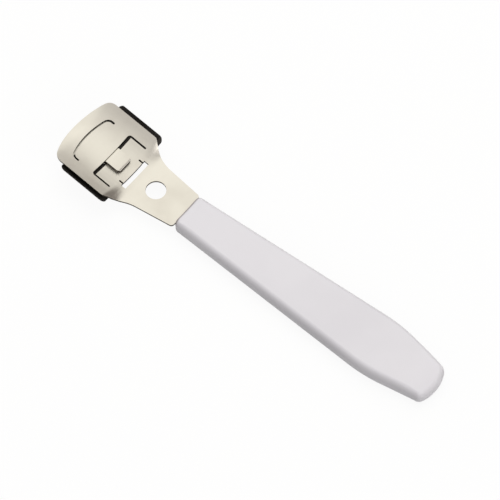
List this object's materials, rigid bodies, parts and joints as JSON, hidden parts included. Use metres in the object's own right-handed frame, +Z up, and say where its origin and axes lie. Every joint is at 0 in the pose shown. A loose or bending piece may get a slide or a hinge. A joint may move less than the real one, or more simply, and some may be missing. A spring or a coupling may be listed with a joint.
{
  "type": "callus shaver",
  "caption": "Callus shaver with a straight moulded handle, a stamped trough-shaped steel head, a curved two-edged blade and a hooked sole plate.",
  "frame": {"origin": "under the middle of the tool's box, on the plane of the handle's flat underside", "axes": "+X from the head to the tail of the handle, +Y to the right, +Z up, out of the hollow side of the head"},
  "size_m": [0.1577, 0.033, 0.0122],
  "materials": {
    "handle_plastic": "smooth moulded, soft gloss",
    "head_steel": "bright satin stamped sheet",
    "blade_steel": "blackened strip with bright ground edges",
    "sole_steel": "bright satin stamped sheet"
  },
  "bodies": {
    "root": {"handle": "handle_plastic", "head_frame": "head_steel", "blade": "blade_steel", "sole_plate": "sole_steel"}
  },
  "joints": []
}
